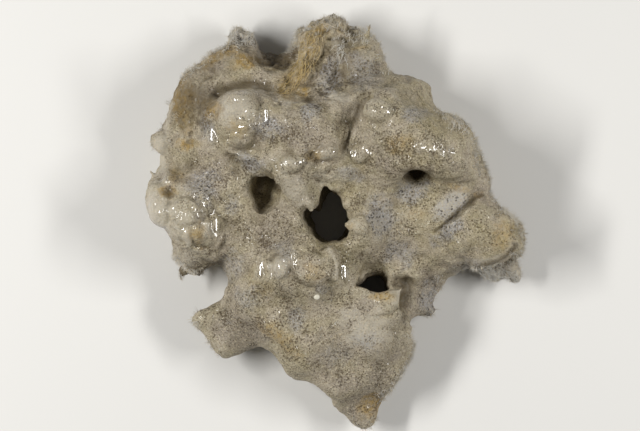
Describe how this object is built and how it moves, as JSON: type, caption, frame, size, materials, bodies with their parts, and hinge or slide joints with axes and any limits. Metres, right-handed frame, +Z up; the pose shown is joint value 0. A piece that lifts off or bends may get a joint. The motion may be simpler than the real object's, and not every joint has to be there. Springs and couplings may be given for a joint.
{
  "type": "sea sponge",
  "caption": "Irregular lump of lobed sea sponge with outflow holes, a pit, creases and a flat wing, cut flat underneath so that it lies still.",
  "frame": {"origin": "middle of the bounding box at the height of the flat cut underside", "axes": "+Y along the length from the wing's tip to the torn crest, +X to the right seen from above, +Z up from the cut"},
  "size_m": [0.0746, 0.083, 0.0266],
  "materials": {
    "sponge_tissue": "wet, porous, tan to grey with ochre stains"
  },
  "bodies": {
    "root": {"sponge": "sponge_tissue"}
  },
  "joints": []
}
